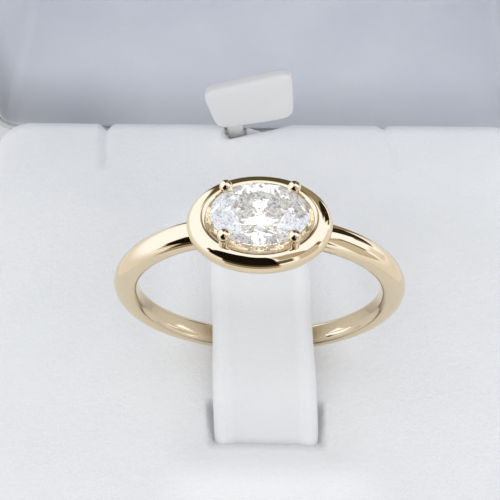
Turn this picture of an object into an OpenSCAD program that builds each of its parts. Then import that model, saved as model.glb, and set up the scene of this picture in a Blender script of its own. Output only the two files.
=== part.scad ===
// Oval diamond ring standing in an open display box.
// X runs across the box, -Y is its front, Z is up. The origin is the centre of the base's underside.

/* [Ring] */
// Inside diameter of the shank
finger_d = 16.92; // [14:0.1:20]
// Diameter of the round wire that the shank is made of
wire_d = 1.77; // [1.4:0.05:2.2]
// How much of the wire is filed flat on the inside
comfort_flat = 0.15; // [0.05:0.01:0.3]
// Angle from the top of the ring at which each end of the shank enters the head
shank_end = 17; // [14:0.5:20]

/* [Head] */
// Length of the oval rim, across the finger
rim_l = 8.6; // [7.5:0.05:9.5]
// Width of the oval rim, along the finger
rim_w = 6.26; // [5.6:0.05:7]
// Width of the domed section of the rim, on its short axis
rim_section_w = 1.28; // [1:0.02:1.5]
// Height of the domed section of the rim
rim_section_h = 1.76; // [1.4:0.02:2]
// Height of the middle of the rim above the ring's centre
rim_z = 9.8; // [9.6:0.05:10]
// Half width of the seat's upper edge, on the short axis
seat_r = 2.16; // [2:0.02:2.2]
// Height of the seat's upper edge above the ring's centre
seat_z = 10.48; // [10.4:0.02:10.56]
// Half width of the open back under the stone, on the short axis
azure_r = 1.32; // [1:0.02:1.5]
// Half width of the gallery under the rim, on the short axis
gallery_r = 2.3; // [2.1:0.02:2.5]

/* [Claws] */
// Diameter of a claw's ball tip
claw_ball_d = 0.78; // [0.6:0.02:0.9]
// Diameter of a claw's post
claw_post_d = 0.6; // [0.5:0.02:0.7]
// Centre of the ball tip, measured from the middle of the stone
claw_tip = [1.98, 1.61, 11.34]; // [1:0.01:12]
// Foot of the post in the rim's inner slope
claw_foot = [2.06, 1.98, 10.1]; // [1:0.01:12]

/* [Diamond] */
// Length of the stone
stone_l = 5.7; // [5.5:0.05:6]
// Width of the stone
stone_w = 4.1; // [4:0.05:4.4]
// Height of the top of the girdle above the ring's centre
girdle_z = 11.1; // [10.9:0.02:11.16]
// Width of the table as a share of the stone's width
table_share = 0.57; // [0.5:0.01:0.65]
// Crown height as a share of the stone's width
crown_share = 0.14; // [0.1:0.01:0.17]
// Pavilion depth as a share of the stone's width
pavilion_share = 0.43; // [0.38:0.01:0.45]
// Girdle thickness at the main facets as a share of the stone's width
girdle_share = 0.034; // [0.028:0.002:0.05]

/* [Pad] */
// Width, depth and height of the velvet pad
pad_size = [50, 45.6, 20.3]; // [20:0.1:60]
// Radius of the pad's upright corners
pad_corner_r = 3; // [2:0.1:5]
// Radius of the pad's top edge
pad_edge_r = 1.5; // [0.8:0.1:2]
// Places of the two rear slits, from the middle of the pad
slit_x = [-14.6, 12.5]; // [-18:0.1:18]
// Width and length of a rear slit
slit_size = [0.6, 6]; // [0.3:0.1:8]
// Depth of a rear slit
slit_depth = 1.5; // [1:0.5:8]
// Place of the ring's centre from the middle of the pad, to the right
ring_x = 0.4; // [0:0.1:2]

/* [Box] */
// Thickness of the walls of the base
base_wall = 1.5; // [1.2:0.1:2]
// Height of the base
base_h = 12; // [12:0.5:18]
// Space between the pad and the walls of the base, at its sides and at its front and back
pad_gap = [2.2, 1.3]; // [1.2:0.1:2.4]
// Thickness of the walls of the lid
lid_wall = 1; // [1:0.1:1.4]
// Thickness of the lining on the walls of the lid
lining_t = 0.6; // [0.5:0.05:0.8]
// Outside height of the lid
lid_h = 34.5; // [34:0.5:40]
// Radius of the box's upright corners
box_corner_r = 3; // [3:0.5:6]
// Radius of the upright corners of the lining's inside
lining_corner_r = 1.2; // [1.2:0.1:2.4]
// Radius between the walls and the top of the lining's inside
lining_soft_r = 1.2; // [0.6:0.1:1.2]

/* [Hinge] */
// Diameter of the hinge pin
pin_d = 0.8; // [0.6:0.1:1]
// Outside diameter of the knuckles
knuckle_d = 1.8; // [1.6:0.1:2]
// Distance of the pin from the back of the box
pin_offset = 1.2; // [1.1:0.05:1.4]
// Whole length of the hinge
hinge_l = 22; // [16:1:30]
// Height of a hinge leaf on the box
leaf_h = 5; // [3:0.5:6]
// Angle by which the lid stands open
lid_open = 90; // [0:5:90]

/* [Hidden] */
$fn = 72;
hull_fn = 32;
stone_gap = 0.03;
soft_gap = 0.12;
split_gap = 0.2;
running_gap = 0.05;

// The ring's own frame has its origin at the middle of the finger hole.
finger_r = finger_d / 2;
wire_r = wire_d / 2;
shank_r = finger_r + wire_r - comfort_flat;
ring_bottom = shank_r + wire_r;
pad_floor = base_wall + 0.1;
pad_top = pad_floor + pad_size.z;
ring_z = pad_top + ring_bottom + 0.04;

head_ratio = rim_l / rim_w;
rim_path_r = (rim_w - rim_section_w) / 2;
stone_r = stone_w / 2;
stone_ratio = stone_l / stone_w;
girdle_t = girdle_share * stone_w;
crown_h = crown_share * stone_w;
pavilion_h = pavilion_share * stone_w;
seat_slope = pavilion_h / stone_r;

box_w = pad_size.x + 2 * (pad_gap.x + base_wall);
box_d = pad_size.y + 2 * (pad_gap.y + base_wall);
hinge_y = box_d / 2 + pin_offset;
hinge_z = base_h + split_gap / 2;
knuckle_gap = 0.2;
knuckle_l = (hinge_l - 2 * knuckle_gap) / 3;
leaf_t = 0.38;
leaf_back = box_d / 2 + 0.04;
leaf_plate_h = leaf_h - knuckle_d / 2 - 0.3;
pin_head = 0.3;

// The stone is cut so that its bezel facets meet the star facets in flat planes.
mid_share = 0.8;
mid_height = crown_h * (1 - mid_share * cos(22.5)) / (1 - table_share);
lower_share = 0.24;

tongue_t = 1.5;
tongue_edge_r = 0.6;
tongue_lean = -0.06;
tongue_x = ring_x + 0.27;
// The tongue's middle line from its root to its free end.
// columns: distance behind the ring, height above the pad, half width
tongue_rows = [
    [-9.9, -6.0, 4.05],
    [-9.4, -3.6, 4.05],
    [-8.3, -1.5, 4.05],
    [-6.3, 0.4, 4.05],
    [-3.4, 2.3, 4.0],
    [0, 3.52, 3.9],
    [3.4, 4.4, 3.95],
    [6.6, 5.05, 3.9],
    [9.4, 5.5, 3.8]
];
tongue_y = 0;
tongue_h = 1;
tongue_half_w = 2;
tongue_steps = 4;
slot_row = 5;

// The tab is a strap's end, twisted so that its right side lifts from the pad.
tab_t = 1.6;
tab_back = pad_size.y / 2 - 0.3;
// columns: distance right of the ring, height above the pad
tab_outline = [
    [-3.4, -6],
    [-1.9, -6],
    [-1.9, 0.3],
    [2.85, 1.3],
    [2.45, 8.4],
    [-5.5, 5.5],
    [-4.2, 0.3],
    [-3.4, 0.1]
];

function on_circle(r, az, z) = [r * cos(az), r * sin(az), z];

// Height at x, y of the plane through three points.
function plane_z(p, q, s, x, y) =
    let (n = cross(q - p, s - p)) p.z - (n.x * (x - p.x) + n.y * (y - p.y)) / n.z;

// One coordinate of a smooth curve through four rows, between the middle two.
function smooth(a, b, c, d, t) =
    0.5 * (2 * b + (c - a) * t + (2 * a - 5 * b + 4 * c - d) * t ^ 2 + (3 * b - a - 3 * c + d) * t ^ 3);

function smooth_rows(rows, steps) = [
    for (i = [0 : len(rows) - 2], j = [0 : steps - 1])
        smooth(rows[max(i - 1, 0)], rows[i], rows[i + 1], rows[min(i + 2, len(rows) - 1)], j / steps),
    rows[len(rows) - 1]
];

// A rounded rectangle as a ring of points, each corner a quarter turn.
function soft_section(half_w, half_t, r) = [
    for (corner = [0 : 3], az = [0 : 30 : 90])
        let (
            sx = corner == 0 || corner == 3 ? 1 : -1,
            sy = corner < 2 ? 1 : -1
        )
        [sx * (half_w - r) + r * cos(90 * corner + az), sy * (half_t - r) + r * sin(90 * corner + az)]
];

module place_ring() {
    translate([ring_x, 0, ring_z]) children();
}

// A straight round bar between two points.
module bar(from, to, d) {
    v = to - from;
    translate(from)
        rotate([0, acos(v.z / norm(v)), atan2(v.y, v.x)])
            cylinder(h = norm(v), d = d);
}

module rounded_block(w, d, h, r) {
    linear_extrude(h) {
        square([w - 2 * r, d], center = true);
        square([w, d - 2 * r], center = true);
        for (x = [-1, 1], y = [-1, 1])
            translate([x * (w / 2 - r), y * (d / 2 - r)]) circle(r);
    }
}

// A block with upright corners of radius r and a top edge of radius soft.
module soft_block(w, d, h, r, soft) {
    hull()
        for (x = [-1, 1], y = [-1, 1])
            translate([x * (w / 2 - r), y * (d / 2 - r), 0]) {
                cylinder(h = h - soft, r = r, $fn = hull_fn);
                translate([0, 0, h - soft])
                    rotate_extrude($fn = hull_fn)
                        translate([r - soft, 0])
                            intersection() {
                                circle(soft, $fn = hull_fn);
                                square(soft);
                            }
            }
}

module shank() {
    rotate([90, 0, 0])
        rotate([0, 0, 90 + shank_end])
            rotate_extrude(angle = 360 - 2 * shank_end)
                translate([shank_r, 0]) circle(wire_r);
}

// The head turned as a round collar; head_ratio then stretches it to the oval.
module head_section() {
    bottom = finger_r - 1.2;
    top = rim_z + rim_section_h;
    difference() {
        union() {
            translate([rim_path_r, rim_z])
                scale([rim_section_w / 2, rim_section_h / 2]) circle(1);
            translate([azure_r, bottom])
                square([gallery_r - azure_r, rim_z - bottom]);
        }
        polygon([
            [0, bottom - 1],
            [azure_r, bottom - 1],
            [azure_r, seat_z - (seat_r - azure_r) * seat_slope],
            [seat_r, seat_z],
            [seat_r, top],
            [0, top]
        ]);
    }
}

// The space that the stone needs, with a small gap all round.
module stone_space() {
    g = stone_gap;
    translate([0, 0, girdle_z])
        scale([stone_ratio, 1, 1])
            rotate_extrude()
                polygon([
                    [0, crown_h + g],
                    [table_share * stone_r + g, crown_h + g],
                    [mid_share * stone_r + g, mid_height + g],
                    [stone_r + g, 0],
                    [stone_r + g, -girdle_t],
                    [0, -girdle_t - pavilion_h - g]
                ]);
}

module claws() {
    for (x = [0, 1], y = [0, 1])
        mirror([x, 0, 0]) mirror([0, y, 0])
            difference() {
                union() {
                    bar(claw_foot, claw_tip, claw_post_d);
                    translate(claw_tip) sphere(d = claw_ball_d);
                }
                stone_space();
            }
}

module ring_mount() {
    color("#e3c48f")
        place_ring()
            difference() {
                union() {
                    shank();
                    scale([head_ratio, 1, 1]) rotate_extrude() head_section();
                    claws();
                }
                rotate([90, 0, 0])
                    cylinder(h = 2 * rim_w, r = finger_r, center = true, $fn = 144);
            }
}

// An oval brilliant: a round one stretched along X, which keeps every facet flat.
module oval_diamond() {
    steps = 4;
    seg = 22.5 / steps;
    n = 16 * steps;
    lower_z = -girdle_t - pavilion_h * (1 - lower_share * cos(22.5));

    table = [for (k = [0 : 7]) on_circle(table_share, 45 * k, crown_h)];
    mids = [for (k = [0 : 7]) on_circle(mid_share, 45 * k + 22.5, mid_height)];
    lowers = [for (k = [0 : 7]) on_circle(lower_share, 45 * k + 22.5, lower_z)];
    upper_edge = [for (i = [0 : n - 1])
        let (half = floor(i / steps), k = floor(half / 2), a = 22.5 * half,
             p = on_circle(1, i * seg, 0))
        [p.x, p.y, plane_z(mids[k], on_circle(1, a, 0), on_circle(1, a + 22.5, 0), p.x, p.y)]];
    lower_edge = [for (i = [0 : n - 1])
        let (half = floor(i / steps), k = floor(half / 2), a = 22.5 * half,
             p = on_circle(1, i * seg, 0))
        [p.x, p.y, plane_z(lowers[k], on_circle(1, a, -girdle_t),
                           on_circle(1, a + 22.5, -girdle_t), p.x, p.y)]];
    culet = [[0, 0, -girdle_t - pavilion_h]];

    m0 = 8;
    u0 = 16;
    w0 = u0 + n;
    l0 = w0 + n;
    c0 = l0 + 8;
    faces = concat(
        [[for (k = [7 : -1 : 0]) k]],
        [for (k = [0 : 7]) [k, (k + 1) % 8, m0 + k]],
        [for (k = [0 : 7]) [k, m0 + k, u0 + 2 * steps * k, m0 + (k + 7) % 8]],
        [for (h = [0 : 15])
            [m0 + floor(h / 2), for (j = [steps : -1 : 0]) u0 + (h * steps + j) % n]],
        [for (i = [0 : n - 1])
            [u0 + i, u0 + (i + 1) % n, w0 + (i + 1) % n, w0 + i]],
        [for (h = [0 : 15])
            [l0 + floor(h / 2), for (j = [0 : steps]) w0 + (h * steps + j) % n]],
        [for (k = [0 : 7]) [c0, l0 + (k + 7) % 8, w0 + 2 * steps * k, l0 + k]]
    );
    points = concat(table, mids, upper_edge, lower_edge, lowers, culet);
    color("#eef2f5")
        place_ring()
            translate([0, 0, girdle_z])
                polyhedron(
                    [for (p = points) [p.x * stone_r * stone_ratio, p.y * stone_r, p.z]],
                    faces
                );
}

// The strip of the tongue from its root to row last, grown by extra all round and at its root.
module tongue_strip(last, extra) {
    root = tongue_rows[0] - [0, extra, 0];
    rows = smooth_rows([root, for (i = [1 : last]) tongue_rows[i]], tongue_steps);
    n = len(rows);
    rings = [for (i = [0 : n - 1])
        let (
            ahead = rows[min(i + 1, n - 1)] - rows[max(i - 1, 0)],
            slope = atan2(ahead[tongue_h], ahead[tongue_y]),
            row = rows[i],
            outline = soft_section(row[tongue_half_w] + extra, tongue_t / 2 + extra, tongue_edge_r)
        )
        [for (p = outline) [
            tongue_x + tongue_lean * row[tongue_y] + p.x,
            row[tongue_y] - p.y * sin(slope),
            pad_top + row[tongue_h] + p.y * cos(slope)
        ]]];
    m = len(rings[0]);
    polyhedron(
        [for (r = rings, p = r) p],
        concat(
            [[for (j = [m - 1 : -1 : 0]) j]],
            [for (i = [0 : n - 2], j = [0 : m - 1])
                [i * m + j, i * m + (j + 1) % m, (i + 1) * m + (j + 1) % m, (i + 1) * m + j]],
            [[for (j = [0 : m - 1]) (n - 1) * m + j]]
        )
    );
}

module ring_tongue() {
    color("#e8eaec") tongue_strip(len(tongue_rows) - 1, 0);
}

module tab_plate(extra) {
    translate([ring_x, tab_back + extra, pad_top])
        rotate([90, 0, 0])
            linear_extrude(tab_t + 2 * extra) polygon(tab_outline);
}

module rear_tab() {
    color("#e6e8ea") tab_plate(0);
}

module pad() {
    notch_gap = 0.6;
    notch_x = tab_outline[0].x - notch_gap;
    notch_w = tab_outline[2].x + notch_gap / 3 - notch_x;
    notch_h = notch_gap - tab_outline[0].y;
    notch_d = pad_size.y / 2 - tab_back + tab_t + soft_gap;
    color("#dfe3e6")
        difference() {
            translate([0, 0, pad_floor])
                soft_block(pad_size.x, pad_size.y, pad_size.z, pad_corner_r, pad_edge_r);
            tongue_strip(slot_row, soft_gap);
            translate([ring_x + notch_x, pad_size.y / 2 - notch_d, pad_top - notch_h])
                cube([notch_w, notch_d + 1, notch_h + 1]);
            for (x = slit_x)
                translate([x - slit_size.x / 2, pad_size.y / 2 - slit_size.y, pad_top - slit_depth])
                    cube([slit_size.x, slit_size.y + 1, slit_depth + 1]);
        }
}

module box_base() {
    color("#d9dadd")
        difference() {
            rounded_block(box_w, box_d, base_h, box_corner_r);
            translate([0, 0, base_wall])
                rounded_block(box_w - 2 * base_wall, box_d - 2 * base_wall, base_h,
                              box_corner_r - base_wall);
        }
}

// Turns what is drawn for the closed box about the hinge pin.
module opened() {
    translate([0, hinge_y, hinge_z])
        rotate([-lid_open, 0, 0])
            translate([0, -hinge_y, -hinge_z]) children();
}

module box_lid() {
    color("#d9dadd")
        opened()
            translate([0, 0, base_h + split_gap])
                difference() {
                    rounded_block(box_w, box_d, lid_h, box_corner_r);
                    translate([0, 0, -lid_wall])
                        rounded_block(box_w - 2 * lid_wall, box_d - 2 * lid_wall, lid_h,
                                      box_corner_r - lid_wall);
                }
}

module lid_lining() {
    gap = 0.05;
    out = lid_wall + gap;
    in = lid_wall + gap + lining_t;
    color("#b9bcc8")
        opened()
            translate([0, 0, base_h + split_gap])
                difference() {
                    rounded_block(box_w - 2 * out, box_d - 2 * out, lid_h - out,
                                  box_corner_r - out);
                    translate([0, 0, -1])
                        soft_block(box_w - 2 * in, box_d - 2 * in, lid_h - in + 1,
                                   lining_corner_r, lining_soft_r);
                }
}

// A knuckle of length l along X, centred at x on the pin's line.
module knuckle(x, l) {
    translate([x - l / 2, hinge_y, hinge_z])
        rotate([0, 90, 0]) cylinder(h = l, d = knuckle_d);
}

module pin_bore() {
    translate([-hinge_l, hinge_y, hinge_z])
        rotate([0, 90, 0]) cylinder(h = 2 * hinge_l, r = pin_d / 2 + running_gap);
}

// A leaf against the back of the box; side is -1 below the pin and 1 above it.
module leaf(x, l, side) {
    translate([x - l / 2, leaf_back, side > 0 ? hinge_z : hinge_z - leaf_h])
        cube([l, leaf_t, leaf_h]);
}

module hinge_base_leaf() {
    color("#c9b27c")
        difference() {
            union() {
                for (x = [-1, 1]) {
                    knuckle(x * (knuckle_l + knuckle_gap), knuckle_l);
                    leaf(x * (knuckle_l + knuckle_gap), knuckle_l, -1);
                }
                translate([-hinge_l / 2, leaf_back, hinge_z - leaf_h])
                    cube([hinge_l, leaf_t, leaf_plate_h]);
            }
            pin_bore();
        }
}

module hinge_lid_leaf() {
    color("#c9b27c")
        opened()
            difference() {
                union() {
                    knuckle(0, knuckle_l);
                    leaf(0, knuckle_l, 1);
                    translate([-hinge_l / 2, leaf_back, hinge_z + leaf_h - leaf_plate_h])
                        cube([hinge_l, leaf_t, leaf_plate_h]);
                }
                pin_bore();
            }
}

module hinge_pin() {
    color("#c9b27c")
        translate([-hinge_l / 2 - pin_head, hinge_y, hinge_z])
            rotate([0, 90, 0]) cylinder(h = hinge_l + 2 * pin_head, d = pin_d);
}

ring_mount();
oval_diamond();
pad();
ring_tongue();
rear_tab();
box_base();
box_lid();
lid_lining();
hinge_base_leaf();
hinge_lid_leaf();
hinge_pin();
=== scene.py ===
import math

import bmesh
import bpy
import numpy as np
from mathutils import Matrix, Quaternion, Vector


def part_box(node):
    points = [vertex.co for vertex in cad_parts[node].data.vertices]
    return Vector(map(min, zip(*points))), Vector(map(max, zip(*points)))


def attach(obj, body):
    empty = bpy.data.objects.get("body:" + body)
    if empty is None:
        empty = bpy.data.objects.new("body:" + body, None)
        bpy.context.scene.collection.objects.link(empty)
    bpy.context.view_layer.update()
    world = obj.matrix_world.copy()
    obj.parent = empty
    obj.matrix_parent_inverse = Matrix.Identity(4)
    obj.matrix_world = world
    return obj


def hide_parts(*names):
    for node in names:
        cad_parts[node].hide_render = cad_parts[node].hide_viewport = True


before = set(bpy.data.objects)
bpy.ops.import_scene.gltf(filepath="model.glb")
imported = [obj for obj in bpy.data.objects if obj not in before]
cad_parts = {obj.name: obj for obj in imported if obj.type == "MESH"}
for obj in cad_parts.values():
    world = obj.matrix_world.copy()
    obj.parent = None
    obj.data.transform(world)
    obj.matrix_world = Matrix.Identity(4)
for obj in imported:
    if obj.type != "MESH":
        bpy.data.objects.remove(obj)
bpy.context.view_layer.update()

# Ring mount. A shank of round wire is soldered under a domed oval rim with a gallery below it, and
# four ball-tipped claws stand in the rim. It is pale 14 carat gold, filed and polished to a mirror.
MM = 0.001


def box_mm(node):
    """The lowest and the highest corner of a node of the frame, in millimetres."""
    low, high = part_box(node)
    return np.array(low) / MM, np.array(high) / MM


def grid_faces(rows, columns, around_rows, around_columns):
    """The quads of a grid of points. Each joins point (i, j) to (i+1, j), (i+1, j+1) and (i, j+1), and
    a direction that goes around also joins its last points to its first."""
    i = np.arange(rows if around_rows else rows - 1)[:, None]
    j = np.arange(columns if around_columns else columns - 1)[None, :]
    below, beside = (i + 1) % rows, (j + 1) % columns
    corners = [i * columns + j, below * columns + j, below * columns + beside, i * columns + beside]
    return np.stack([np.broadcast_to(c, (i.size, j.size)) for c in corners], -1).reshape(-1, 4)


def new_piece(name, grids):
    """One closed mesh from grids of points in millimetres, each given as (points, around_rows,
    around_columns). Points closer than a ten-thousandth of a millimetre are merged, and all faces are
    turned outwards."""
    vertices, faces, first = [], [], 0
    for points, around_rows, around_columns in grids:
        vertices.append(points.reshape(-1, 3) * MM)
        faces.append(grid_faces(*points.shape[:2], around_rows, around_columns) + first)
        first += points.shape[0] * points.shape[1]
    mesh = bpy.data.meshes.new(name)
    mesh.from_pydata(np.concatenate(vertices).tolist(), [], np.concatenate(faces).tolist())
    work = bmesh.new()
    work.from_mesh(mesh)
    bmesh.ops.remove_doubles(work, verts=work.verts, dist=1e-7)
    bmesh.ops.recalc_face_normals(work, faces=work.faces)
    work.to_mesh(mesh)
    work.free()
    mesh.shade_smooth()
    piece = bpy.data.objects.new(name, mesh)
    bpy.context.scene.collection.objects.link(piece)
    return piece


def closed_ends(points):
    """The grid with a first and a last row added, each drawn together at the middle of its end."""
    first = np.broadcast_to(points[:1].mean(1, keepdims=True), points[:1].shape)
    last = np.broadcast_to(points[-1:].mean(1, keepdims=True), points[-1:].shape)
    return np.concatenate([first, points, last])


def eased(points, axis, passes, around=True):
    """Rounds corners along one axis of a grid: each pass gives every point half of its own place and
    a quarter of each neighbour's."""
    for _ in range(passes):
        ahead, behind = np.roll(points, -1, axis), np.roll(points, 1, axis)
        moved = points / 2 + (ahead + behind) / 4
        if not around:
            keep = [slice(None)] * points.ndim
            for end in (0, -1):
                keep[axis] = end
                moved[tuple(keep)] = points[tuple(keep)]
        points = moved
    return points


def soft_max(a, b, blend):
    """The larger of two values, with a round change from one to the other: half of their sum plus half
    the root of their difference squared plus blend squared."""
    return (a + b + np.sqrt((a - b) ** 2 + blend**2)) / 2


mount_low, mount_high = box_mm("ring_mount")
shank_out_r = (mount_high[0] - mount_low[0]) / 2
ring_centre = np.array([(mount_low[0] + mount_high[0]) / 2, 0, mount_low[2] + shank_out_r])
# Sizes are in millimetres. Heights and places on the ring are taken from the middle of its finger hole.
wire_r = 0.885
finger_r = 8.46
shank_r = shank_out_r - wire_r
# The shank's two ends lie in the head, this many degrees from straight up.
shank_end = 17
flat_blend = 0.1
# The head's oval is this many times as long as it is wide, and its radii are those of its short way.
rim_ratio = 1.374
rim_half_w = 0.64
rim_path_r = mount_high[1] - rim_half_w
rim_half_h = 0.88
rim_z = 9.8
crest_r = 2.3
seat_r = 2.16
seat_z = 10.48
azure_r = 1.32
azure_z = 9.79
gallery_r = 2.3
claw_foot = np.array([2.06, 1.98, 10.1])
claw_tip = np.array([1.98, 1.61, 11.34])
claw_ball_r = 0.39
claw_post_r = 0.27
claw_root_r = 0.44
# A claw starts this far below its foot, and its root narrows over about this length.
claw_sunk = 0.3
claw_flare = 0.5
stone_low, stone_high = box_mm("oval_diamond")
stone_half = (stone_high - stone_low)[:2] / 2
crown_h = 0.28 * stone_half[1]
girdle_t = 0.068 * stone_half[1]
girdle_z = stone_high[2] - crown_h - ring_centre[2]
pavilion_h = 0.86 * stone_half[1]
table_share = 0.57
stone_gap = 0.02


def shank_grid(rows=420, columns=72):
    """A ring about the Y axis. Its section is a circle, filed flat where it would come nearer to the
    middle than the finger hole's radius."""
    along = np.radians(np.linspace(shank_end, 360 - shank_end, rows))[:, None]
    section = np.linspace(0, 2 * np.pi, columns, endpoint=False)[None, :]
    radius = soft_max(shank_r + wire_r * np.cos(section), finger_r - flat_blend / 4, flat_blend)
    y = wire_r * np.sin(section) + 0 * along
    return np.stack([radius * np.sin(along), y, radius * np.cos(along)], -1)


def head_grid(columns=256):
    """One section of the head, carried round the oval. It goes up the gallery's outside, over the rim's
    half ellipse to its crest, straight down to the seat, down the seat's cone and the inside, and back
    along the finger hole's cylinder. fall is the share of the way by which a point goes down from its
    own height to that cylinder."""
    lower = math.acos((gallery_r - rim_path_r) / rim_half_w)
    upper = math.acos((crest_r - rim_path_r) / rim_half_w)
    arc = np.linspace(-lower, upper, 110)
    arc_r = rim_path_r + rim_half_w * np.cos(arc)
    arc_z = rim_z + rim_half_h * np.sin(arc)
    up = np.linspace(0, 1, 14)[:-1]
    slope = np.linspace(0, 1, 16)[1:-1]
    cone = np.linspace(0, 1, 24)
    down = np.linspace(0, 1, 30)[1:]
    under = np.linspace(0, 1, 22)[1:-1]
    radius = np.concatenate([0 * up + gallery_r, arc_r, crest_r + (seat_r - crest_r) * slope,
                             seat_r + (azure_r - seat_r) * cone, 0 * down + azure_r,
                             azure_r + (gallery_r - azure_r) * under])
    top = np.concatenate([0 * up + arc_z[0], arc_z, arc_z[-1] + (seat_z - arc_z[-1]) * slope,
                          seat_z + (azure_z - seat_z) * cone, 0 * down + azure_z, 0 * under + azure_z])
    fall = np.concatenate([1 - up, 0 * arc, 0 * slope, 0 * cone, down, 0 * under + 1])
    turn = np.linspace(0, 2 * np.pi, columns, endpoint=False)[:, None]
    x = rim_ratio * radius * np.cos(turn)
    y = radius * np.sin(turn)
    z = top + fall * (np.sqrt(finger_r**2 - x**2) - top)
    return eased(np.stack([x, y, z], -1), 1, 8)


def clear_of_stone(points):
    """Points that lie in the stone are moved out of it: those over the girdle up to the crown's slope,
    and the others outwards to the girdle or the pavilion's cone."""
    x, y, z = np.moveaxis(points, -1, 0)
    share = np.hypot(x / stone_half[0], y / stone_half[1])
    crown = girdle_z + crown_h * np.clip((1 - share) / (1 - table_share), 0, 1) + stone_gap
    pavilion = 1 - np.clip((girdle_z - girdle_t - z) / pavilion_h, 0, 1)
    limit = pavilion + stone_gap / stone_half[1]
    above = (share < 1) & (z > girdle_z - girdle_t / 2)
    z = np.where(above, np.maximum(z, crown), z)
    push = np.where(~above & (share < limit), limit / share, 1)
    return np.stack([x * push, y * push, z], -1)


def claw_grid(side_x, side_y, rows=64, columns=48):
    """A round post with a wide root and a ball at its tip, drawn round a straight line. Its radius is the
    larger of the post's and the ball's at each height. The root's extra width falls off as a bell curve,
    and the ball closes in a pole."""
    foot = claw_foot * [side_x, side_y, 1]
    tip = claw_tip * [side_x, side_y, 1]
    axis = (tip - foot) / np.linalg.norm(tip - foot)
    reach = np.linalg.norm(tip - foot)
    across = np.cross(axis, [0, 1, 0])
    across /= np.linalg.norm(across)
    beside = np.cross(axis, across)
    step = np.linspace(0, 1, rows)
    along = -claw_sunk + (reach + claw_ball_r + claw_sunk) * np.sin(step * np.pi / 2)
    ball = np.sqrt(np.maximum(claw_ball_r**2 - (along - reach) ** 2, 0))
    flare = np.exp(-((along + claw_sunk) / claw_flare) ** 2)
    post = claw_post_r + (claw_root_r - claw_post_r) * flare
    post = np.where(along < reach, post, 0)
    radius = eased(np.maximum(ball, post), 0, 2, False)
    radius[-1] = 0
    turn = np.linspace(0, 2 * np.pi, columns, endpoint=False)
    ring = np.cos(turn)[:, None] * across + np.sin(turn)[:, None] * beside
    points = foot + along[:, None, None] * axis + radius[:, None, None] * ring
    return clear_of_stone(points)


claws = [claw_grid(x, y) for x in (-1, 1) for y in (-1, 1)]
ring = new_piece("ring", [
    (closed_ends(shank_grid()) + ring_centre, False, True),
    (head_grid() + ring_centre, True, True),
    *[(closed_ends(claw) + ring_centre, False, True) for claw in claws],
])


class Term:
    """An output of a shader node. Arithmetic on it adds Math nodes, so a pattern reads as a formula."""

    def __init__(self, tree, socket):
        self.tree = tree
        self.socket = socket

    def node(self, kind, settings=(), inputs=(), output=0):
        """Adds a node, sets it up, then sets or links its inputs, and returns one output of it."""
        made = self.tree.nodes.new("ShaderNode" + kind)
        for key, value in dict(settings).items():
            setattr(made, key, value)
        for key, value in dict(inputs).items():
            if isinstance(value, Term):
                self.tree.links.new(value.socket, made.inputs[key])
            else:
                made.inputs[key].default_value = value
        return made if output is None else Term(self.tree, made.outputs[output])

    def math(self, operation, *values):
        """The result of a Math node that is given these values."""
        return self.node("Math", {"operation": operation}, enumerate(values))

    def __add__(self, other):
        return self.math("ADD", self, other)

    def __radd__(self, other):
        return self.math("ADD", other, self)

    def __sub__(self, other):
        return self.math("SUBTRACT", self, other)

    def __rsub__(self, other):
        return self.math("SUBTRACT", other, self)

    def __mul__(self, other):
        return self.math("MULTIPLY", self, other)

    def __rmul__(self, other):
        return self.math("MULTIPLY", other, self)

    def __truediv__(self, other):
        return self.math("DIVIDE", self, other)

    def __neg__(self):
        return self.math("SUBTRACT", 0, self)

    def __abs__(self):
        return self.math("ABSOLUTE", self)

    def parts(self):
        """The x, y and z of this, as three terms."""
        made = self.node("SeparateXYZ", {}, {0: self}, None)
        return [Term(self.tree, output) for output in made.outputs]

    def noise(self, scale, detail=2.0, roughness=0.5, squash=(1, 1, 1)):
        """Cloudy noise from 0 to 1 on this place, with scale clouds to the metre. A small number in squash
        draws them out along its axis."""
        place = self.node("Mapping", {}, {"Vector": self, "Scale": squash})
        return self.node("TexNoise", {}, {"Vector": place, "Scale": scale, "Detail": detail,
                                          "Roughness": roughness})

    def steps(self, low, high):
        """0 below low, 1 above high and a smooth rise between them."""
        return self.node("MapRange", {"interpolation_type": "SMOOTHSTEP"},
                         {"Value": self, "From Min": low, "From Max": high})

    def band(self, rise, fall):
        """A smooth rise from 0 to 1 across the first pair of values, and a fall to 0 across the second."""
        return self.steps(*rise) * (1 - self.steps(*fall))

    def colours(self, low, high):
        """A mix of two colours, low where this is 0 and high where it is 1."""
        return self.node("Mix", {"data_type": "RGBA"}, {0: self, 6: (*low, 1), 7: (*high, 1)}, 2)

    def scaled(self, value):
        """This colour times a value."""
        return self.node("VectorMath", {"operation": "SCALE"}, {0: self, "Scale": value})

    def bump(self, height_mm, normal=None):
        """The surface's normal, tilted as if this stood height_mm above it."""
        inputs = {"Height": self, "Distance": height_mm * MM, "Strength": 1.0}
        if normal is not None:
            inputs["Normal"] = normal
        return self.node("Bump", {}, inputs)


def new_material(name):
    """An empty material, as the term of its Object coordinates."""
    material = bpy.data.materials.new(name)
    material.use_nodes = True
    material.node_tree.nodes.clear()
    made = Term(material.node_tree, None).node("TexCoord", {}, {}, "Object")
    made.material = material
    return made


def finish_material(place, **sockets):
    """Ends the material with a Principled surface; an underscore in a name stands for a space."""
    inputs = {key.replace("_", " "): value for key, value in sockets.items()}
    surface = place.node("BsdfPrincipled", {}, inputs)
    place.node("OutputMaterial", {"is_active_output": True}, {"Surface": surface}, None)
    return place.material


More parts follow.
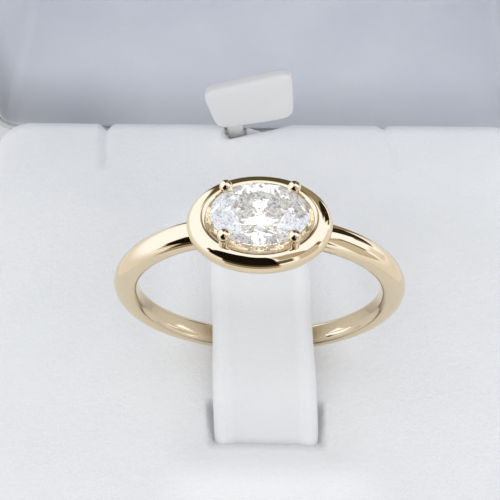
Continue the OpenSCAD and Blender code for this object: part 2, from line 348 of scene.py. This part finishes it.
# The polish is faintly wavy and scuffed, and its colour drifts a little.
gold_place = new_material("polished_gold")
gold_wave = gold_place.noise(260, 1.0)
gold_scuff = gold_place.noise(5200, 3.0, 0.6, (1, 1, 0.25))
gold_tint = gold_place.noise(180, 2.0)
ring.data.materials.append(finish_material(
    gold_place,
    Base_Color=gold_tint.colours((0.79, 0.655, 0.45), (0.81, 0.68, 0.48)),
    Metallic=1.0,
    Roughness=gold_scuff.steps(0.45, 0.8) * 0.05 + 0.035,
    Normal=gold_scuff.bump(0.0006, gold_wave.bump(0.004)),
))
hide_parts("ring_mount")
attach(ring, "base")

# Diamond. An oval brilliant cut from one clear crystal, with a table, a crown and a pavilion that are
# polished facet by facet. It sits in the rim's seat, and the four claws hold it down by its crown.
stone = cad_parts["oval_diamond"]


def diamond():
    """Clear crystal. Cells a ninth of a millimetre wide each have a painted shade of their own, a few of
    them dark, a painted sparkle that the facets mirror to and fro as crushed ice. The cells also glow a
    little, a painted light."""
    place = new_material("clear_diamond")
    cells = place.node("TexVoronoi", {"feature": "F1"}, {"Vector": place, "Scale": 9000}, "Color")
    painted_glints = cells.parts()[0].steps(0.1, 0.5)
    return finish_material(
        place,
        Base_Color=painted_glints.colours((0.6, 0.58, 0.57), (1, 1, 1)),
        Roughness=0.0,
        IOR=2.417,
        Transmission_Weight=1.0,
        # Painted light: the stone glows a little, in the cells' pattern.
        Emission_Color=painted_glints.colours((0.06, 0.05, 0.045), (1, 1, 1)),
        Emission_Strength=0.13,
    )


stone.data.materials.clear()
stone.data.materials.append(diamond())

# Pad. A block of foam with a flocked white velvet skin, pushed down into the base. It has a slot
# that the tongue comes out of, two short slits cut in from its back edge, and a notch for the tab.
pad_low, pad_high = box_mm("pad")
pad_half = (pad_high - pad_low)[:2] / 2
pad_middle = (pad_high + pad_low)[:2] / 2
pad_top = pad_high[2]
pad_corner_r = 3.0
pad_edge_r = 1.5
tongue_x = ring_centre[0] + 0.27
tongue_lean = -0.06
ripple_h = 0.018
slit_l = 6.0
# columns: place at the back edge, place a slit's length in front of it, depth, half width
slit_rows = ((-14.7, -14.3, 0.5, 0.42), (11.8, 12.8, 0.22, 0.4))
# Each pair holds the two places between which the foam goes down or comes up again. The slits' pairs
# count in slit lengths behind the back edge, and slit_mouth_depth is how many depths the mouth adds.
slit_start = (-1.05, -0.7)
slit_mouth = (-0.22, 0.03)
slit_mouth_depth = 2.2
slot_side = (4.05, 4.75)
slot_front = (-8.6, -7.6)
slot_back = (-5.4, -4.4)
slot_depth = 0.95
# The groove lies under the tab's lower edge. Its middle line goes through this point, given as
# distances right of the ring and behind it, and runs to the back by this slope.
groove_point = (-3.3, 21.4)
groove_slope = 0.28
groove_half_w = 0.65
groove_left = (-4.2, -2.8)
groove_right = (0.5, 3)
groove_depth = 1.7
notch_left = (-3.75, -3.5)
notch_right = (-1.85, -1.6)
notch_front = (pad_half[1] - 1.35, pad_half[1] - 1.15)
notch_depth = 3.5
back_push = 0.2
# Keeps a division away from zero.
tiny = 1e-9


def smooth_step(value, low, high):
    """0 below low, 1 above high, and the smooth cubic step between."""
    t = np.clip((value - low) / (high - low), 0, 1)
    return t * t * (3 - 2 * t)


def plateau(value, rise, fall):
    """A smooth step from 0 up to 1 across the first pair of values, and one down to 0 across the second."""
    return smooth_step(value, *rise) * (1 - smooth_step(value, *fall))


def ripples(x, y, seed, longest, shortest, count=14, roughness=0.7):
    """A sum of sine waves in scattered directions, from about -1 to 1. A wave is as high as its length to
    the power of roughness."""
    random = np.random.default_rng(seed)
    total = 0
    for wave in np.geomspace(longest, shortest, count):
        way = random.uniform(0, 2 * np.pi)
        start = random.uniform(0, 2 * np.pi)
        total = total + (wave / longest) ** roughness * np.sin(
            2 * np.pi * (x * np.cos(way) + y * np.sin(way)) / wave + start)
    return total / count**0.5


def corner_distance(x, y, half, corner_r):
    """How far a point lies inside a rounded rectangle, and the outward way to its nearest edge."""
    over = np.stack([np.abs(x) - half[0] + corner_r, np.abs(y) - half[1] + corner_r], -1)
    outside = np.maximum(over, 0)
    length = np.linalg.norm(outside, axis=-1)
    inside = corner_r - length - np.minimum(over.max(-1), 0)
    flat = np.stack([over[..., 0] >= over[..., 1], over[..., 0] < over[..., 1]], -1).astype(float)
    way = np.where(length[..., None] > tiny, outside / np.maximum(length, tiny)[..., None], flat)
    return inside, way * np.sign(np.stack([x, y], -1))


def rounded_square(a, b, half, corner_r, hold=8):
    """Takes the square from -1 to 1 to a rounded rectangle. Near its corners a point is drawn in along
    its ray from the middle, so that the square's edge lands on the rounded corner. The pull fades out
    towards the middle as the power of hold."""
    x, y = half[0] * a, half[1] * b
    centre = np.sign(np.stack([x, y], -1)) * (half - corner_r)
    point = np.stack([x, y], -1)
    square = (point**2).sum(-1)
    cross = (point * centre).sum(-1)
    rest = (centre**2).sum(-1) - corner_r**2
    root = np.sqrt(np.maximum(cross**2 - square * rest, 0))
    edge = np.maximum(np.abs(a), np.abs(b))
    reach = (cross + root) / np.maximum(square, tiny) * edge
    hit = point * (reach / np.maximum(edge, tiny))[..., None]
    in_corner = (np.abs(hit) > half - corner_r).all(-1)
    scale = np.where(in_corner, reach, 1)
    return point * (1 + (scale - 1) * edge**hold)[..., None]


def pad_relief(x, y):
    """Heights of the pad's top. The slits are soft creases, as deep as a bell curve across them and
    opening to the back edge, and so is the slanting groove under the tab's lower edge. Slot and notch are
    smooth steps, and the foam is a little uneven."""
    behind = (y - pad_half[1]) / slit_l
    height = ripple_h * ripples(x, y, 3, 19, 5)
    for back_x, front_x, depth, half_w in slit_rows:
        off = (x - back_x + (front_x - back_x) * behind) / half_w
        along = smooth_step(behind, *slit_start) + slit_mouth_depth * smooth_step(behind, *slit_mouth)
        height = height - depth * np.exp(-off**2) * along
    beside = np.abs(x - tongue_x - tongue_lean * y)
    slot = (1 - smooth_step(beside, *slot_side)) * plateau(y, slot_front, slot_back)
    from_ring = x - ring_centre[0]
    groove_y = groove_point[1] + groove_slope * (from_ring - groove_point[0])
    groove = np.exp(-((y - groove_y) / groove_half_w) ** 2) * plateau(from_ring, groove_left, groove_right)
    notch = plateau(from_ring, notch_left, notch_right) * smooth_step(y, *notch_front)
    return height - slot_depth * slot - groove_depth * groove - notch_depth * notch


def back_skew(x, y):
    """How far the pad's back part is pushed backwards: it grows evenly from the left side to the right
    one, and fades out towards the middle of the pad."""
    return back_push * x / pad_half[0] * smooth_step(y, 0, pad_half[1] - pad_edge_r)


def pad_grids(rows=286, columns=276, wall_rows=14):
    """The top as a square sheet whose edge is rolled over the block: a point less than a quarter turn
    from the edge lies on the edge's round, and the others stay flat. Walls then go down from its rim."""
    rolled = pad_edge_r * (np.pi / 2 - 1)
    a, b = np.meshgrid(np.linspace(-1, 1, rows), np.linspace(-1, 1, columns), indexing="ij")
    flat = rounded_square(a, b, pad_half + rolled, pad_corner_r + rolled)
    inside, way = corner_distance(flat[..., 0], flat[..., 1], pad_half + rolled, pad_corner_r + rolled)
    turn = np.clip(inside / pad_edge_r, 0, np.pi / 2)
    shift = np.where(inside < pad_edge_r * np.pi / 2, pad_edge_r * (1 - np.cos(turn)) - inside + rolled, 0)
    place = flat - way * shift[..., None]
    height = pad_relief(place[..., 0], place[..., 1]) - pad_edge_r * (1 - np.sin(turn))
    place[..., 1] += back_skew(place[..., 0], place[..., 1])
    top = np.concatenate([place + pad_middle, (pad_top + height)[..., None]], -1)
    rim = np.concatenate([top[:-1, 0], top[-1, :-1], top[:0:-1, -1], top[0, :0:-1]])
    share = np.linspace(0, 1, wall_rows)[:, None]
    wall = np.broadcast_to(rim, (wall_rows, *rim.shape)).copy()
    wall[..., 2] += (pad_low[2] - wall[..., 2]) * share
    return top, closed_ends(wall)[1:]


pad_sheet, pad_wall = pad_grids()
pad = new_piece("velvet_pad", [(pad_sheet, False, False), (pad_wall, False, True)])


def velvet(place, low, high, pile=1.0, light=1.0):
    """Flock: cloudy shade where the pile lies one way or the other, and fine fibres that catch light.
    pile scales the fibres' height, and light scales the colour, painted light and shade that is lighter or
    darker in places."""
    clouds = place.noise(150, 3.0, 0.55)
    fibres = place.noise(5200, 4.0, 0.75)
    grains = place.noise(2100, 2.0, 0.6)
    shade = clouds.steps(0.25, 0.75) * 0.55 + fibres.steps(0.2, 0.8) * 0.3 + grains * 0.15
    return finish_material(
        place,
        Base_Color=shade.colours(low, high).scaled(light),
        Roughness=fibres * 0.2 + 0.8,
        Sheen_Weight=0.25,
        Sheen_Roughness=0.5,
        Normal=fibres.bump(0.05 * pile, grains.bump(0.06 * pile)),
    )


pad_place = new_material("flocked_velvet")
pad_across, pad_along = (way / MM for way in pad_place.parts()[:2])
off_tongue = abs(pad_across - tongue_x - pad_along * tongue_lean)
# Painted light and shade: the velvet's colour is painted lighter inside the ring, at the back and in front
# of the tongue, and darker beside the slot.
painted_light_in_ring = (1 - off_tongue.steps(6, 10)) * pad_along.band((-3, 2), (9, 15))
painted_light_at_back = pad_along.steps(9, 18) * pad_across.steps(-14, -7)
painted_light_in_front = (1 - pad_along.steps(-11.5, -8.5)) * (1 - off_tongue.steps(5, 10))
painted_shade_beside_slot = (1 - off_tongue.steps(4.5, 8.5)) * pad_along.band((-11.5, -9), (-9, -3))
pad_painted_light = 1 + painted_light_in_ring * 0.15 + painted_light_at_back * 0.06 + painted_light_in_front * 0.1 - painted_shade_beside_slot * 0.08
pad.data.materials.append(velvet(pad_place, (0.85, 0.86, 0.875), (0.91, 0.915, 0.925), 1.0, pad_painted_light))
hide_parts("pad")
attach(pad, "base")

# Tongue. A strip of card padded and wrapped in the same velvet, with a rolled edge on each side. It
# comes up out of the slot, passes through the ring and holds the lower part of the shank down.
# columns: distance behind the ring, height above the pad, half width
tongue_rows = np.array([
    [-9.9, -6.0, 4.05],
    [-9.4, -3.6, 4.05],
    [-8.3, -1.5, 4.05],
    [-6.3, 0.4, 4.05],
    [-3.4, 2.3, 4.0],
    [0, 3.52, 3.9],
    [3.4, 4.4, 3.95],
    [6.6, 5.05, 3.9],
    [9.4, 5.5, 3.8],
])
roll_r = 0.72
web_half_t = 0.48
web_blend = 0.12
# How much narrower the free end gets as it closes.
end_draw = 0.16


def smooth_rows(rows, steps):
    """A Catmull-Rom curve through the rows, with that many steps from each row to the next."""
    before = np.concatenate([rows[:1], rows[:-1]])[:-1, None]
    after = np.concatenate([rows[1:], rows[-1:]])[1:, None]
    here, there = rows[:-1, None], rows[1:, None]
    t = np.linspace(0, 1, steps, endpoint=False)[None, :, None]
    curve = 0.5 * (2 * here + (there - before) * t + (2 * before - 5 * here + 4 * there - after) * t**2
                   + (3 * here - before - 3 * there + after) * t**3)
    return np.concatenate([curve.reshape(-1, rows.shape[1]), rows[-1:]])


def rolled_sections(half_w, columns=120):
    """A strip's section for each half width: x is the half width times a cosine, and the half thickness
    is the web's in the middle and a circle's at each edge, with their corner eased."""
    turn = np.linspace(0, 2 * np.pi, columns, endpoint=False)[None, :]
    x = half_w * np.cos(turn)
    inward = np.abs(x) - (half_w - roll_r)
    roll = np.sqrt(np.maximum(roll_r**2 - inward**2, 0))
    half_t = np.where(inward > 0, roll, soft_max(roll, web_half_t, web_blend))
    return eased(np.stack([x, half_t * np.sign(np.sin(turn))], -1), 1, 3)


def tongue_grid():
    """The rolled section carried along the smooth curve, square to it, and closed by a round free end
    whose width and thickness shrink as a quarter circle's."""
    rows = smooth_rows(tongue_rows, 14)
    y, z, half_w = np.moveaxis(rows[:, None], -1, 0)
    slope = np.gradient(rows[:, :2], axis=0)
    slope /= np.linalg.norm(slope, axis=1)[:, None]
    left = np.linalg.norm(rows[-1, :2] - rows[:, :2], axis=1)[:, None]
    close = np.sqrt(1 - (1 - np.clip(left / roll_r, 0, 1)) ** 2)
    across, up = np.moveaxis(rolled_sections(half_w), -1, 0)
    across = across * (1 - end_draw * (1 - close)) + tongue_x + tongue_lean * y
    up = up * close
    return np.stack([across, y - up * slope[:, 1:], pad_top + z + up * slope[:, :1]], -1)


tongue = new_piece("velvet_tongue", [(closed_ends(tongue_grid()), False, True)])
tongue_place = new_material("tongue_velvet")
tongue_across, tongue_along = (way / MM for way in tongue_place.parts()[:2])
# Painted light and shade: the tongue's velvet is painted darker than the pad's, lighter along its rolled
# edges and under the head, and darker again at its front end.
painted_light_on_rolls = abs(tongue_across - tongue_x - tongue_along * tongue_lean).steps(2.4, 2.8)
painted_shade_at_front = (-tongue_along).steps(4.5, 7.5)
painted_light_under_head = tongue_along.steps(0.5, 3.5)
tongue_painted_light = 0.865 + painted_light_on_rolls * 0.04 - painted_shade_at_front * 0.05 + painted_light_under_head * 0.1
tongue.data.materials.append(
    velvet(tongue_place, (0.86, 0.87, 0.885), (0.92, 0.925, 0.935), 0.6, tongue_painted_light))
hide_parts("ring_tongue")
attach(tongue, "base")

# Rear tab. The wrapped end of a short strap that stands up out of the notch at the pad's back edge,
# twisted so that its right side lifts off the pad. It has the tongue's padding and velvet.
tab_low, tab_high = box_mm("rear_tab")
tab_half_t = (tab_high[1] - tab_low[1]) / 2
tab_y = (tab_high[1] + tab_low[1]) / 2
# columns: distance right of the ring, height above the pad
tab_corners = np.array([[-4.3, 0.25], [2.85, 2.2], [2.45, 8.4], [-5.5, 5.5]])
tab_root = np.array([[-3.4, -6.0], [-1.9, -6.0], [-1.9, 1.8], [-3.4, 1.8]])
root_half_t = 0.42
root_y = tab_high[1] - root_half_t


def cushion_grid(corners, middle_y, half_t, squareness=7, fullness=0.45, rows=48, columns=96):
    """A padded panel between four corners. Its loops grow from the middle of the front to the edge, and
    shrink to the middle of the back. A loop is a rounded square, whose two coordinates, each to the power
    of squareness, add up to the same. The half thickness is a sine to the power of fullness, which is
    flat in the middle and round at the edge."""
    turn = np.linspace(0, 2 * np.pi, columns, endpoint=False)[None, :]
    swing = np.linspace(-np.pi / 2, np.pi / 2, rows)[:, None]
    reach = np.cos(swing)
    powers = np.abs(np.cos(turn)) ** squareness + np.abs(np.sin(turn)) ** squareness
    spread = powers ** (-1 / squareness)
    a = (1 + reach * spread * np.cos(turn)) / 2
    b = (1 + reach * spread * np.sin(turn)) / 2
    low = corners[0] * (1 - a)[..., None] + corners[1] * a[..., None]
    high = corners[3] * (1 - a)[..., None] + corners[2] * a[..., None]
    flat = low * (1 - b)[..., None] + high * b[..., None]
    thick = half_t * np.sign(swing) * np.abs(np.sin(swing)) ** fullness + 0 * turn
    return np.stack([flat[..., 0] + ring_centre[0], middle_y + thick, flat[..., 1] + pad_top], -1)


tab = new_piece("velvet_tab", [
    (cushion_grid(tab_corners, tab_y, tab_half_t), False, True),
    (cushion_grid(tab_root, root_y, root_half_t), False, True),
])
# Painted shade: the tab's velvet is painted darker than the pad's and the tongue's.
tab.data.materials.append(velvet(new_material("tab_velvet_painted_shade"), (0.735, 0.74, 0.745), (0.79, 0.79, 0.795), 0.6))
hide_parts("rear_tab")
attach(tab, "base")

# Base. A moulded shell, open at the top, that the pad is pushed into. It is wrapped in pale leatherette,
# whose edges are turned in over the rim and glued down inside.
base_low, base_high = box_mm("box_base")
box_half = (base_high - base_low)[:2] / 2
box_corner_r = 3.0
base_wall = 1.5


def loop(half, corner_r, inward, columns=168, least_r=0.05):
    """A rounded rectangle, moved inwards, whose corners keep a least radius. Each corner takes a quarter
    of the points, and the sides lie between one corner's last point and the next corner's first."""
    turn = np.linspace(0, 2 * np.pi, columns, endpoint=False) + np.pi / columns
    way = np.stack([np.cos(turn), np.sin(turn)], -1)
    radius = np.maximum(corner_r - inward, least_r)[..., None]
    middle = half - np.maximum(corner_r, inward + least_r)[..., None]
    return np.sign(way) * middle + radius * way


def shell_grid(profile, half, corner_r, passes, cuts=8):
    """A profile, cut finer and eased, carried round the rounded rectangle. Its first and last rows are
    drawn together at the middle. corner_r is one radius, or one for each row of the profile."""
    rows = np.column_stack([profile, np.broadcast_to(corner_r, len(profile))])
    share = np.linspace(0, 1, cuts, endpoint=False)[None, :, None]
    fine = (rows[:-1, None] + (rows[1:] - rows[:-1])[:, None] * share).reshape(-1, 3)
    fine = eased(np.concatenate([fine, rows[-1:]]), 0, passes, False)[:, None]
    flat = loop(half, fine[..., 2], fine[..., 0])
    return closed_ends(np.concatenate([flat, np.broadcast_to(fine[..., 1:2], (*flat.shape[:2], 1))], -1))


base_h = base_high[2]
# columns: distance inwards, height
base_profile = np.array([
    [9, 0], [4, 0], [1.0, 0], [0.1, 0.1], [0, 1], [0, 6], [0, base_h - 1], [0.1, base_h - 0.1],
    [base_wall / 2, base_h], [base_wall - 0.1, base_h - 0.1], [base_wall, base_h - 1],
    [base_wall, 6], [base_wall, 2.2], [2.2, base_wall], [5, base_wall], [9, base_wall],
])
base = new_piece("leather_base", [(shell_grid(base_profile, box_half, box_corner_r, 2), False, True)])


def leatherette():
    """Embossed grain: cells about 0.4 mm wide with creases between them, the creases painted darker than the
    cells' tops, a painted shade, and a little worn in broad patches."""
    place = new_material("pale_leatherette")
    cells = place.node("TexVoronoi", {"feature": "DISTANCE_TO_EDGE"},
                       {"Vector": place, "Scale": 2600, "Randomness": 0.9})
    creases = cells.steps(0.0, 0.35)
    wear = place.noise(120, 4.0, 0.6)
    return finish_material(
        place,
        Base_Color=(creases * 0.6 + wear * 0.4).colours((0.60, 0.605, 0.62), (0.76, 0.765, 0.775)),
        Roughness=0.62 - creases * 0.14,
        Coat_Weight=creases * 0.12,
        Coat_Roughness=0.35,
        Normal=creases.bump(0.035, wear.bump(0.12)),
    )


base.data.materials.append(leatherette())
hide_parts("box_base")
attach(base, "base")

# Lid. A deeper shell of the same make, hinged at the back. It is drawn shut, then swung open about
# the hinge's pin as the frame has it.
pin_low, pin_high = box_mm("hinge_pin")
hinge_y = (pin_low[1] + pin_high[1]) / 2
hinge_z = (pin_low[2] + pin_high[2]) / 2
lid_low, lid_high = box_mm("box_lid")
lid_rim_z = 2 * hinge_z - base_h
lid_h = lid_high[1] - hinge_y + hinge_z - lid_rim_z
lid_wall = 1.0


def swung_open(points):
    """A quarter turn about the pin: what was above it goes behind it."""
    x, y, z = np.moveaxis(points, -1, 0)
    return np.stack([x, hinge_y + (z - hinge_z), hinge_z - (y - hinge_y)], -1)


# columns: distance inwards, height over the rim when shut
lid_profile = np.array([
    [9, lid_h], [5, lid_h], [1.6, lid_h], [0.3, lid_h - 0.3], [0, lid_h - 1.6], [0, lid_h / 2], [0, 0.8],
    [0.1, 0.1], [lid_wall / 2, 0], [lid_wall - 0.1, 0.1], [lid_wall, 0.8], [lid_wall, lid_h / 2],
    [lid_wall, lid_h - 1.8], [lid_wall + 0.9, lid_h - lid_wall], [5, lid_h - lid_wall],
    [9, lid_h - lid_wall],
]) + [0, lid_rim_z]
lid = new_piece("leather_lid", [
    (swung_open(shell_grid(lid_profile, box_half, box_corner_r, 2)), False, True),
])
lid.data.materials.append(base.data.materials[0])
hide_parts("box_lid")
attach(lid, "lid")

# Lining. Thin foam covered in soft grey-lilac cloth, pressed into the lid, so that its corners are
# round and its faces puff a little.
lining_out = 1.05
lining_t = 0.6
lining_corner_r = 1.2
lining_soft_r = 1.2
lid_mouth_y = hinge_y + lid_rim_z - hinge_z


def lining_grid():
    """A tub: its outside is a plain wall, and its inside has rounder upright corners and goes over to
    the ceiling in a quarter circle."""
    inner = lining_out + lining_t
    ceiling = lid_h - inner
    turn = np.linspace(0, np.pi / 2, 12)
    corner_in = inner + lining_soft_r * (1 - np.cos(turn))
    corner_z = ceiling - lining_soft_r * (1 - np.sin(turn))
    outside = [[9, lid_h - lining_out], [4, lid_h - lining_out], [1.9, lid_h - lining_out],
               [lining_out, lid_h - 3], [lining_out, 12], [lining_out, 0.3], [1.4, 0.05]]
    inside = [[inner - 0.15, 0.05], [inner, 0.3], [inner, 6], [inner, 12], [inner, 18],
              *np.stack([corner_in, corner_z], -1).tolist(), [inner + 7, ceiling], [inner + 12, ceiling]]
    profile = np.array(outside + inside) + [0, lid_rim_z]
    corners = np.repeat([box_corner_r, lining_corner_r + inner], [len(outside), len(inside)])
    return shell_grid(profile, box_half, corners, 3)


lining = new_piece("lid_lining_cloth", [(swung_open(lining_grid()), False, True)])


def lining_cloth():
    """Brushed cloth: broad soft blotches, a fine nap and a faint pucker. Along its lower edge by the hinge
    it is painted darker, a painted shade, and most so at the left."""
    place = new_material("lilac_cloth")
    blotches = place.noise(70, 3.0, 0.5)
    nap = place.noise(3600, 4.0, 0.7)
    pucker = place.noise(110, 1.0)
    across, along = (way / MM for way in place.parts()[:2])
    # Painted shade: the cloth is darker along its lower edge by the hinge, and most so at the left.
    mouth = 1 - along.steps(lid_mouth_y + 0.3, lid_mouth_y + 8.5)
    painted_shade_at_mouth = mouth * ((-across).steps(10, 20) * 0.2 + 0.2)
    shade = blotches.steps(0.3, 0.7) * 0.7 + nap * 0.3
    return finish_material(
        place,
        Base_Color=shade.colours((0.82, 0.845, 0.915), (0.92, 0.93, 0.965)).scaled(1 - painted_shade_at_mouth),
        Roughness=0.95,
        Sheen_Weight=0.2,
        Sheen_Roughness=0.6,
        Normal=nap.bump(0.04, pucker.bump(0.8)),
    )


lining.data.materials.append(lining_cloth())
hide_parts("lid_lining")
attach(lining, "lid")

# Hinge. Two stamped brass leaves with rolled knuckles, one fixed to the base and one to the lid, turn
# on one drawn pin. All three are brushed to a satin finish.
# The brushing runs along the pin, and age has dulled the brass in patches.
brass_place = new_material("satin_brass")
brass_streak = brass_place.noise(9000, 2.0, 0.6, (0.08, 1, 1))
brass_age = brass_place.noise(500, 4.0, 0.6)
brass = finish_material(
    brass_place,
    Base_Color=brass_age.colours((0.62, 0.50, 0.30), (0.80, 0.68, 0.45)),
    Metallic=1.0,
    Roughness=brass_streak * 0.25 + 0.22,
    Normal=brass_streak.bump(0.003),
)
for name in ("hinge_base_leaf", "hinge_lid_leaf", "hinge_pin"):
    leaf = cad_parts[name].data
    leaf.materials.clear()
    leaf.materials.append(brass)

# Floor. A plain pale table top, on which the box stands.
floor_half = 1500.0
floor_points = np.array([[[-1, -1, 0], [-1, 1, 0]], [[1, -1, 0], [1, 1, 0]]]) * floor_half
floor = new_piece("floor", [(floor_points, False, False)])
floor_place = new_material("pale_floor")
floor.data.materials.append(finish_material(
    floor_place,
    Base_Color=floor_place.noise(3.0).colours((0.78, 0.78, 0.79), (0.82, 0.82, 0.83)),
    Roughness=0.7,
))
# The gold mirrors the studio's light and its dark screens right down to the ground, and not these three.
for piece in (floor, lid, lining):
    piece.visible_glossy = False

# Light. Soft white light from all sides, stronger from above and most of all from low in front. What
# polished metal mirrors is a bright tent with dark screens in it, in front, at the right and at the back.
world = bpy.data.worlds.new("studio")
bpy.context.scene.world = world
world.use_nodes = True
world.node_tree.nodes.clear()
sky = Term(world.node_tree, None).node("TexCoord", {}, {}, "Generated")
east, north, up = sky.parts()
around = sky.math("DEGREES", sky.math("ARCTAN2", east, -north))
down = sky.math("DEGREES", sky.math("ARCCOSINE", up))


def shape(left, right, top, bottom, edge):
    """1 inside a patch of the surround and 0 outside it, with a soft edge. Its left and right are angles
    round from the front, and its top and bottom are angles down from overhead."""
    off = abs(sky.math("WRAP", around - (left + right) / 2, 180, -180))
    beside = ((right - left) / 2 - off).steps(-edge / 2, edge / 2)
    return beside * down.band((top - edge / 2, top + edge / 2), (bottom - edge / 2, bottom + edge / 2))


open_share = 1
# columns: left, right, top and bottom in degrees, the edge's width, how much light it takes away
for left, right, top, bottom, edge, dim in (
    (-200, 200, 104, 190, 24, 0.33),
    (-54, 17, 9, 90, 2, 0.995),
    (-59, -50, 62, 83, 3, 0.97),
    (-36, 19, 84, 106, 3, 0.96),
    (-54, -34, 82, 98, 5, 0.4),
    (-34, 20, 104, 122, 6, 0.6),
    (20, 56, 16, 62, 4, 0.64),
    (14, 34, 66, 93, 4, 0.9),
    (36, 72, 58, 66, 4, 0.6),
    (70, 78, 60, 86, 4, 0.85),
    (40, 70, 66, 104, 6, 0.5),
    (78, 104, 86, 104, 6, 0.3),
    (131, 147, 44, 96, 3, 0.985),
    (118, 132, 56, 96, 3, 0.985),
    (111, 118, 76, 94, 3, 0.9),
    (146, 168, 40, 140, 4, 0.76),
    (166, 203, 36, 140, 5, 0.92),
    (168, 192, 29, 38, 4, 0.8),
):
    open_share = open_share * (1 - shape(left, right, top, bottom, edge) * dim)

ray = sky.node("LightPath", {}, {}, None)
camera_ray, glossy_ray, through_ray, scatter_depth = (
    Term(world.node_tree, ray.outputs[name])
    for name in ("Is Camera Ray", "Is Glossy Ray", "Is Transmission Ray", "Diffuse Depth"))
# A ray that cloth has already scattered gets the spread light, whatever it meets later.
seen_ray = 1 - sky.math("GREATER_THAN", scatter_depth, 0.5)
stone_ray = through_ray * seen_ray
metal_ray = glossy_ray * seen_ray * (1 - through_ray)
# Matt surfaces get the spread light, the gold the tent with its screens, the stone a field of small
# bright and dim patches, and the camera a plain backdrop.
tent_light = 1.7
backdrop_light = 0.85
front_low = (-north).steps(0.1, 0.9) * up.band((-0.1, 0.25), (0.55, 0.9))
spread = 0.84 + up * 0.12 - east * 0.03 + front_low * 0.55
mirrored = open_share * tent_light
sparkle = sky.noise(40.0, 4.0, 0.7).steps(0.42, 0.5) * 1.5 + 0.45
strength = spread * (1 - metal_ray) * (1 - stone_ray) + mirrored * metal_ray + sparkle * stone_ray
strength = strength * (1 - camera_ray) + camera_ray * backdrop_light
# The gold sees a cool white tent, and what little light the screens leave is warm.
tent = open_share.colours((0.93, 0.74, 0.40), (0.753, 0.829, 1.0))
tint = sky.node("Mix", {"data_type": "RGBA"}, {0: metal_ray, 6: (0.975, 0.985, 1.0, 1), 7: tent}, 2)
back = sky.node("Background", {}, {"Color": tint, "Strength": strength})
sky.node("OutputWorld", {"is_active_output": True}, {"Surface": back}, None)

# Camera. It looks steeply down on the ring from in front, close by. Its angles are in degrees, and
# it aims at a point above the middle of the finger hole.
camera_distance = 53.5
camera_elevation = 65.8
camera_azimuth = 0.66
camera_lens = 54.8
camera_roll = -0.96
aim_offset = np.array([-0.52, -1.82, 10.0])
tilt, swing = math.radians(camera_elevation), math.radians(camera_azimuth)
back_way = np.array([math.sin(swing) * math.cos(tilt), -math.cos(swing) * math.cos(tilt), math.sin(tilt)])
camera_place = ring_centre + camera_distance * back_way
looks = Vector(ring_centre + aim_offset - camera_place)
camera = bpy.data.objects.new("camera", bpy.data.cameras.new("camera"))
bpy.context.scene.collection.objects.link(camera)
camera.data.lens = camera_lens
camera.data.clip_start = MM
camera.location = Vector(camera_place) * MM
camera.rotation_mode = "QUATERNION"
roll = Quaternion((0, 0, 1), math.radians(camera_roll))
camera.rotation_quaternion = looks.to_track_quat("-Z", "Y") @ roll
bpy.context.scene.camera = camera
bpy.context.scene.view_settings.view_transform = "Standard"
